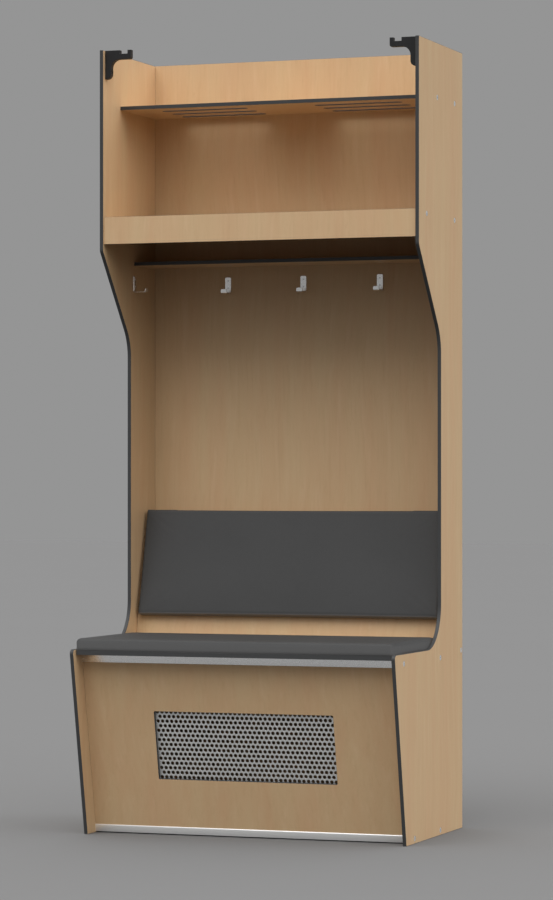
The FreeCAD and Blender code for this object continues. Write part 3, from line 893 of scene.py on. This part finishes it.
# %% Slopes and eased copies
PANEL_INSET = 60 * MM
SEAT_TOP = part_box("seat_board")[1].z
SEAT_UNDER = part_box("seat_board")[0].z
RAIL_CLEARANCE = 3 * MM
RAIL_HEIGHT = 21 * MM
GROOVE_DEPTH = 8 * MM
LEAN = math.radians(13.7)
RAIL_EASE = 0.4 * MM
FLAT = math.radians(1)

SLOPE_FOOT = Vector((0, REAR - FOOT_DEPTH + PANEL_INSET, 0))
SLOPE_PLACE = Matrix.Translation(SLOPE_FOOT) @ Matrix.Rotation(FRONT_SLOPE, 4, "X")
SLOPE_FACE = SLOPE_PLACE.to_3x3() @ AXES[1]
LEAN_FOOT = Vector((0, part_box("backrest_board")[0].y, SEAT_TOP))
LEAN_PLACE = Matrix.Translation(LEAN_FOOT) @ Matrix.Rotation(-LEAN, 4, "X")
LEAN_FACE = LEAN_PLACE.to_3x3() @ AXES[1]


def eased_copy(name, node, finish, ease):
    """The node's own solid, welded, with its flat faces joined and its sharp edges rounded."""
    mesh = bmesh.new()
    mesh.from_mesh(frame["nodes"][node].data)
    bmesh.ops.remove_doubles(mesh, verts=mesh.verts, dist=WELD)
    bmesh.ops.dissolve_limit(mesh, angle_limit=FLAT, verts=mesh.verts, edges=mesh.edges)
    sharp = [edge for edge in mesh.edges if edge.is_manifold and edge.calc_face_angle() > SHARP]
    bmesh.ops.bevel(mesh, geom=sharp, offset=ease, segments=2, profile=0.5, affect="EDGES",
                    clamp_overlap=True)
    shown(name, mesh, finish, node)


lean_finish = laminate("maple_backrest_board", LEAN_FACE, "Z", (1.2, 0.1, 0.6))
eased_copy("backrest_carrier", "backrest_board", lean_finish, ARRIS)
rib_finish = laminate("maple_backrest_rib", AXES[0], "Z", (0.4, 1.5, 0.3))
for side in ("left", "centre", "right"):
    eased_copy("rib_" + side, "backrest_rib_" + side, rib_finish, ARRIS)
# The top rails take the brighter aluminium, a painted highlight for the seat's shade; the bottom ones the
# satin
for level, metal in (("top", ALUMINIUM_PAINTED_HIGHLIGHT), ("bottom", SATIN_ALUMINIUM)):
    for row in ("front_rail_", "rear_rail_"):
        eased_copy(row + level + "_extrusion", row + level, metal, RAIL_EASE)
print("front slope", round(math.degrees(FRONT_SLOPE), 2), "lean", round(math.degrees(LEAN), 2))

# %% Vent panel
OPENING_WIDTH = 508 * MM
OPENING_HEIGHT = 188.5 * MM
OPENING_RISE = 250 * MM
OPENING_SHIFT = 3 * MM
OPENING_RADIUS = 3 * MM


def on_slope(depth):
    """Drawing places on the sloping panel: across, up the slope, and inwards from a depth."""
    return SLOPE_PLACE @ facing((0, depth, 0), AXES[0], AXES[2], AXES[1])


def round_window(margin, radius=0):
    """The window's outline, or that of a margin round it."""
    across = OPENING_WIDTH / 2 + margin
    up = OPENING_HEIGHT / 2 + margin
    return rectangle(OPENING_SHIFT - across, OPENING_RISE - up, OPENING_SHIFT + across, OPENING_RISE + up,
                     radius)


def vent_panel():
    stretch = math.cos(FRONT_SLOPE)
    low = (RAIL_CLEARANCE + RAIL_HEIGHT - GROOVE_DEPTH) / stretch
    high = (SEAT_UNDER - RAIL_HEIGHT + GROOVE_DEPTH) / stretch
    window = round_window(0, OPENING_RADIUS)
    loops = [(rectangle(-INNER_HALF, low, INNER_HALF, high), eased(BOARD, FINE_ARRIS)),
             (window, eased(BOARD, FINE_ARRIS))]
    finish = laminate("maple_vent_panel", SLOPE_FACE, "Z", (0.9, 0.8, 0.4))
    board("vent_panel_board", loops, on_slope(0), finish, "front_panel")


vent_panel()
print("window", OPENING_WIDTH / MM, "by", OPENING_HEIGHT / MM, "mm")

# %% [markdown]
# ## The perforated sheet
#
# Perforated sheet is punched with round holes in staggered rows, so that each hole has six neighbours.
# Real holes are cut here, since a painted dot would show neither the depth of the sheet nor the dark
# locker behind it.

# %% Perforated sheet
SHEET = 1.5 * MM
SHEET_OVERLAP = 20 * MM
HOLE_RADIUS = 4.9 * MM
HOLE_SIDES = 20
HOLE_PITCH = (13.05 * MM, 12.95 * MM)
HOLE_COLUMNS = 39
HOLE_ROWS = 15
PUNCHED_EDGE = 0.15 * MM
SCREW_HOLE_SIDES = 16


def hole_centres():
    centres = []
    for row in range(HOLE_ROWS):
        z = OPENING_RISE + (row - (HOLE_ROWS - 1) / 2) * HOLE_PITCH[1]
        in_row = HOLE_COLUMNS - row % 2
        for column in range(in_row):
            centres.append((OPENING_SHIFT + (column - (in_row - 1) / 2) * HOLE_PITCH[0], z))
    return centres


def perforated_sheet():
    loops = [(round_window(SHEET_OVERLAP), [(0, 0), (SHEET, 0)])]
    edge = [(0, PUNCHED_EDGE), (PUNCHED_EDGE, 0), (SHEET, 0)]
    loops += [(circle(centre, HOLE_RADIUS, HOLE_SIDES), edge) for centre in hole_centres()]
    back_to_front = SLOPE_PLACE.inverted()
    for spot, _ in SCREWS["grille"]:
        drawn = back_to_front @ spot
        hole = circle((drawn.x, drawn.z), SMALL_SCREW[2] + SCREW_FIT, SCREW_HOLE_SIDES)
        loops.append((hole, [(0, 0), (SHEET, 0)]))
    board("perforated_vent_sheet", loops, on_slope(BOARD), SHEET_METAL, "vent_grille")


perforated_sheet()
print("holes:", len(hole_centres()))

# %% [markdown]
# ## Hooks bent from strip
#
# Each hook is a flat strip with rounded ends and countersunk holes, bent round two rollers. The model
# does the same: the strip is drawn flat, then each of its points is moved along the bent line, which is
# a walk of straight runs and quarter turns.

# %% Coat hooks
HOOK_WIDTH = 18 * MM
HOOK_STRIP = 3 * MM
HOOK_HEIGHT = 47 * MM
HOOK_REACH = 38 * MM
HOOK_TIP = 12.5 * MM
HOOK_BEND = 5 * MM
HOOK_CORNER = 4 * MM
HOOK_ARRIS = 0.5 * MM
STATION = 1.2 * MM
OPPOSITE = -0.9
BEND_RADIUS = HOOK_BEND - HOOK_STRIP / 2
QUARTER = math.pi / 2
HOOK_RUNS = (
    (HOOK_HEIGHT - HOOK_BEND, 0),
    (BEND_RADIUS * QUARTER, QUARTER),
    (HOOK_REACH - 2 * HOOK_BEND, 0),
    (BEND_RADIUS * QUARTER, QUARTER),
    (HOOK_TIP - HOOK_BEND, 0),
)


def walk(runs, distance):
    """The place and heading after a distance along straight runs and turns to the left."""
    place = Vector((HOOK_STRIP / 2, HOOK_HEIGHT))
    heading = Vector((0, -1))
    for length, turn in runs:
        step = min(distance, length)
        if turn:
            part = turn * step / length
            centre = place + Vector((-heading.y, heading.x)) * (length / turn)
            place = centre + Matrix.Rotation(part, 2) @ (place - centre)
            heading = Matrix.Rotation(part, 2) @ heading
        else:
            place = place + heading * step
        distance -= step
    return place, heading


def stepped(loop, longest):
    """The loop with its long sides divided."""
    result = []
    for index, corner in enumerate(loop):
        following = loop[(index + 1) % len(loop)]
        count = max(1, math.ceil((following - corner).length / longest))
        result += [corner.lerp(following, step / count) for step in range(count)]
    return result


def coat_hook(where, out):
    """A hook on the wall that it stands out from, in a direction."""
    low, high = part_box("coat_hook_" + where)
    across = out.cross(AXES[2])
    length = sum(run for run, _ in HOOK_RUNS)
    wall = middle([low, high])
    wall += out * (min(low.dot(out), high.dot(out)) - wall.dot(out))
    outline = stepped(rectangle(0, -HOOK_WIDTH / 2, length, HOOK_WIDTH / 2, HOOK_CORNER), STATION)
    loops = [(outline, eased(HOOK_STRIP, HOOK_ARRIS))]
    for spot, way in SCREWS["hook"]:
        if (spot - wall).cross(AXES[2]).length < HOOK_REACH / 2 and way.dot(out) < OPPOSITE:
            loops.append(countersink((high.z - spot.z, (spot - wall).dot(across)), SMALL_SCREW, HOOK_STRIP))
    mesh = bmesh.new()
    drawn_out(mesh, loops, Matrix.Identity(4))
    for corner in mesh.verts:
        along, aside, deep = corner.co
        place, heading = walk(HOOK_RUNS, along)
        place += Vector((-heading.y, heading.x)) * (HOOK_STRIP / 2 - deep)
        corner.co = wall + out * place.x + across * aside + AXES[2] * (place.y - HOOK_HEIGHT / 2)
    shown("bent_hook_" + where, mesh, HOOK_METAL, "coat_hook_" + where)


for side in ("left", "centre", "right"):
    coat_hook("back_" + side, -AXES[1])
coat_hook("left_wall", AXES[0])
coat_hook("right_wall", -AXES[0])
print("strip length", round(sum(run for run, _ in HOOK_RUNS) / MM, 1), "mm")

# %% [markdown]
# ## Brackets at the top
#
# The two black arms at the top front are cut from thick plate and painted. Their outline has a square
# notch on top, a large inner round and a rounded lower end, so they are boards like the others.

# %% Brackets
ARM_REACH = 76 * MM
ARM_DROP = 78 * MM
STEM = 18 * MM
ARM = 25 * MM
NOTCH = (43 * MM, 66 * MM, 10 * MM)
NOTCH_RADIUS = 1.5 * MM
ARM_RADIUS = 6 * MM
INNER_RADIUS = 24 * MM
STEM_RADIUS = 14 * MM
ARM_ARRIS = 0.8 * MM


def bracket(side, which):
    """Drawn as (inwards from the side panel, down from the top)."""
    low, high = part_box("bracket_" + which)
    start, end, deep = NOTCH
    corners = [(0, 0), (start, 0), (start, deep), (end, deep), (end, 0), (ARM_REACH, 0), (ARM_REACH, ARM),
               (STEM, ARM), (STEM, ARM_DROP), (0, ARM_DROP)]
    radii = [0, 0, NOTCH_RADIUS, NOTCH_RADIUS, 0, 0, ARM_RADIUS, INNER_RADIUS, STEM_RADIUS, 0]
    place = facing((side * INNER_HALF, low.y, high.z), AXES[0] * -side, -AXES[2], AXES[1])
    loops = [(rounded(corners, radii), eased(high.y - low.y, ARM_ARRIS))]
    board("black_arm_" + which, loops, place, POWDER, "bracket_" + which)


bracket(-1, "left")
bracket(1, "right")
print("bracket arms reach", ARM_REACH / MM, "mm")

# %% [markdown]
# ## The long hinge
#
# A continuous hinge is two strips whose edges are cut into tongues and rolled round one long pin, turn by
# turn. One knuckle's section is a ring with a tab, drawn once and repeated along the pin for each leaf.

# %% Hinge
KNUCKLE_RADIUS = 3 * MM
KNUCKLE_PITCH = 20.15 * MM
KNUCKLE_GAP = 0.4 * MM
LEAF = 1.2 * MM
LEAF_GAP = 0.2 * MM
PIN_RADIUS = 1.2 * MM
PIN_FIT = 0.05 * MM
KNUCKLE_ARRIS = 0.2 * MM
KNUCKLE_STEPS = 40
BORE_SIDES = 20
PIN = middle(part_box("hinge_pin"))


def knuckle_outline():
    """A ring's outside with a tab down to the board's top, as (forward, up) from the pin."""
    drop = SEAT_TOP - PIN.z
    first = -math.acos((LEAF_GAP + LEAF) / KNUCKLE_RADIUS)
    last = 2 * math.pi - math.acos(LEAF_GAP / KNUCKLE_RADIUS)
    outline = [Vector((LEAF_GAP, drop)), Vector((LEAF_GAP + LEAF, drop))]
    for step in range(KNUCKLE_STEPS + 1):
        turn = first + (last - first) * step / KNUCKLE_STEPS
        outline.append(Vector((math.cos(turn), math.sin(turn))) * KNUCKLE_RADIUS)
    return outline


def hinge_leaf(side, which):
    """`side` is 1 on the moving leaf, forward of the pin, and -1 on the fixed one."""
    node = "hinge_" + which + "_leaf"
    low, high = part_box(node)
    length = 2 * high.x
    count = int(length // KNUCKLE_PITCH)
    pitch = length / count
    place = facing((-high.x, PIN.y, PIN.z), -AXES[1] * side, AXES[2], AXES[0])
    strip = rectangle(LEAF_GAP, low.z - PIN.z, LEAF_GAP + LEAF, SEAT_TOP - PIN.z)
    mesh = bmesh.new()
    drawn_out(mesh, [(strip, [(0, 0), (length, 0)])], place)
    levels = eased(pitch - KNUCKLE_GAP, KNUCKLE_ARRIS)
    bore = circle((0, 0), PIN_RADIUS + PIN_FIT, BORE_SIDES)
    for number in range(count):
        if (number % 2 == 1) == (side > 0):
            start = place @ Matrix.Translation((0, 0, number * pitch + KNUCKLE_GAP / 2))
            drawn_out(mesh, [(knuckle_outline(), levels), (bore, levels)], start)
    shown("rolled_hinge_" + which, mesh, HINGE_METAL, node)
    print("the", which, "leaf is on a pin with", count, "places for knuckles")


hinge_leaf(-1, "fixed")
hinge_leaf(1, "moving")

# %% [markdown]
# ## Cushions
#
# Each cushion is foam on a board under stretched vinyl. Foam pushes out and the vinyl holds it, which is
# what cloth with air pressure inside does, so the form is simulated: a block with rounded edges is
# remeshed to an even net, its base is pinned flat to its board, and it is blown up for twenty frames. How
# far a point may move is capped, to keep the cushion within its own space. The seat's block reaches a
# little into its board, so that no gap shows along the front.

# %% Blow up a cushion
SIM_FRAMES = 20
SIM_PRESSURE = 4.0
SIM_QUALITY = 5
VINYL_MASS = 0.3
NET = 5 * MM
SIDE_STEP = 45 * MM
SHOULDER_STEPS = 6
ON_SIDE = 0.499
BLANK_INSET = 1 * MM
DRAW = 1 * MM


def evaluated(piece):
    """The piece's mesh with its modifiers applied."""
    bpy.context.view_layer.update()
    return bpy.data.meshes.new_from_object(piece.evaluated_get(bpy.context.evaluated_depsgraph_get()))


def applied(piece):
    data = evaluated(piece)
    piece.modifiers.clear()
    piece.data = data


def blown_up(piece, base, up, cap):
    """Simulates the piece as cloth, pinned where it lies on its base plane."""
    remesh = piece.modifiers.new("even_net", "REMESH")
    remesh.mode = "VOXEL"
    remesh.voxel_size = NET
    applied(piece)
    before = [corner.co.copy() for corner in piece.data.vertices]
    pinned = piece.vertex_groups.new(name="base")
    pinned.add([i for i, place in enumerate(before) if (place - base).dot(up) < NET], 1.0, "REPLACE")
    cloth = piece.modifiers.new("vinyl", "CLOTH")
    cloth.settings.quality = SIM_QUALITY
    cloth.settings.mass = VINYL_MASS
    cloth.settings.use_pressure = True
    cloth.settings.uniform_pressure_force = SIM_PRESSURE
    cloth.settings.effector_weights.gravity = 0
    cloth.settings.vertex_group_mass = "base"
    cloth.point_cache.frame_start = 1
    cloth.point_cache.frame_end = SIM_FRAMES
    for number in range(1, SIM_FRAMES + 1):
        bpy.context.scene.frame_set(number)
    blown = evaluated(piece)
    piece.modifiers.clear()
    largest = max((end.co - start).length for start, end in zip(before, blown.vertices))
    held = min(1, cap / largest)
    for corner, start, end in zip(piece.data.vertices, before, blown.vertices):
        corner.co = start.lerp(end.co, held)
    bpy.data.meshes.remove(blown)
    bpy.context.scene.frame_set(1)
    print(piece.name, "moved up to", round(largest / MM, 1), "mm, capped at", round(cap / MM, 1))


def drawn_in(across, length, draw):
    """A rectangle whose sides curve inwards between its corners."""
    outline = []
    for corner in stepped(rectangle(-across / 2, -length / 2, across / 2, length / 2), SIDE_STEP):
        inward = Vector((0, 0))
        if abs(corner.x) > across * ON_SIDE:
            inward.x = -math.copysign(1 - (2 * corner.y / length) ** 2, corner.x)
        if abs(corner.y) > length * ON_SIDE:
            inward.y = -math.copysign(1 - (2 * corner.x / across) ** 2, corner.y)
        outline.append(corner + inward * draw)
    return outline


def cushion(name, node, place, finish, across, length, thickness, shoulder, swell):
    """A cushion drawn on its top face, with its thickness inwards."""
    levels = []
    for step in range(SHOULDER_STEPS + 1):
        turn = math.pi / 2 * step / SHOULDER_STEPS
        levels.append((shoulder * (1 - math.cos(turn)), shoulder * (1 - math.sin(turn))))
    levels.append((thickness, 0))
    outline = drawn_in(across - 2 * BLANK_INSET, length - 2 * BLANK_INSET, DRAW)
    mesh = bmesh.new()
    drawn_out(mesh, [(outline, levels)], place)
    piece = shown(name, mesh, finish, node)
    up = -(place.to_3x3() @ AXES[2])
    base = place @ Vector((0, 0, thickness))
    blown_up(piece, base, up, swell)
    piece.data.shade_smooth()
    smooth = piece.modifiers.new("smooth", "SUBSURF")
    smooth.levels = 1
    smooth.render_levels = 1
    applied(piece)
    piece.data.shade_smooth()


print("a cushion blows up for", SIM_FRAMES, "frames")

# %% The two cushions
SEAT_SWELL = 1.5 * MM
SEAT_SPILL = 1.4 * MM
SEAT_SHOULDER = 9 * MM
SEAT_SUNK = 1.5 * MM
PAD_WIDTH = 882 * MM
PAD_RISE = 77.5 * MM
PAD_LENGTH = 303 * MM
PAD_THICKNESS = 28 * MM
PAD_SWELL = 3 * MM
PAD_SHOULDER = 4 * MM


def seat_cushion():
    low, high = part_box("seat_cushion")
    centre = middle([low, high])
    place = facing((centre.x, centre.y, high.z), AXES[0], AXES[1], -AXES[2])
    cushion("seat_pad_vinyl", "seat_cushion", place, SEAT_VINYL, high.x - low.x + 2 * SEAT_SPILL,
            high.y - low.y, high.z - low.z + SEAT_SUNK, SEAT_SHOULDER, SEAT_SWELL)


def backrest_pad():
    place = LEAN_PLACE @ facing((0, -PAD_THICKNESS, PAD_RISE + PAD_LENGTH / 2), AXES[0], AXES[2], AXES[1])
    cushion("backrest_pad_vinyl", "backrest_pad", place, BACKREST_VINYL, PAD_WIDTH, PAD_LENGTH,
            PAD_THICKNESS, PAD_SHOULDER, PAD_SWELL)


seat_cushion()
backrest_pad()
print("cushions done, simulated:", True)

# %% [markdown]
# ## Pieces that stay, and the floor
#
# The hinge's pin is a plain rod and its solid is already right, so it only gets its metal. The floor is a
# wide plain sheet that shows the shadow under the locker.

# %% Kept solids and the floor
pin = frame["nodes"]["hinge_pin"]
pin.data.materials.clear()
pin.data.materials.append(HINGE_METAL)

FLOOR_HALF = 40
FLOOR_CLOUD = 0.7
# The floor's two greys, and the darker one that it shows to the pieces round it
FLOOR_PALE = grey(0.146)
FLOOR_DUSTY = grey(0.150)
FLOOR_BOUNCE = grey(0.06)


def studio_floor():
    finish = Finish("studio_floor", {"Roughness": 0.95, "Specular IOR Level": 0.1})
    cloud = finish.noise(finish.place(), FLOOR_CLOUD, 3)
    pale = finish.mix(cloud, FLOOR_PALE, FLOOR_DUSTY)
    finish.colour(finish.mix(finish.seen(), FLOOR_BOUNCE, pale))
    mesh = bmesh.new()
    outline = rectangle(-FLOOR_HALF, -FLOOR_HALF, FLOOR_HALF, FLOOR_HALF)
    mesh.faces.new([mesh.verts.new(corner.to_3d()) for corner in outline])
    floor = linked("studio_floor", mesh, finish.material)


studio_floor()
print("floor", 2 * FLOOR_HALF, "m wide")

# %% [markdown]
# ## The frame's size
# #
# # The finished pieces have to fill the same box as the frame did, so the frame's box is written down.

# %% Sizes
print("frame:", [[round(v, 4) for v in corner] for corner in cad_box])
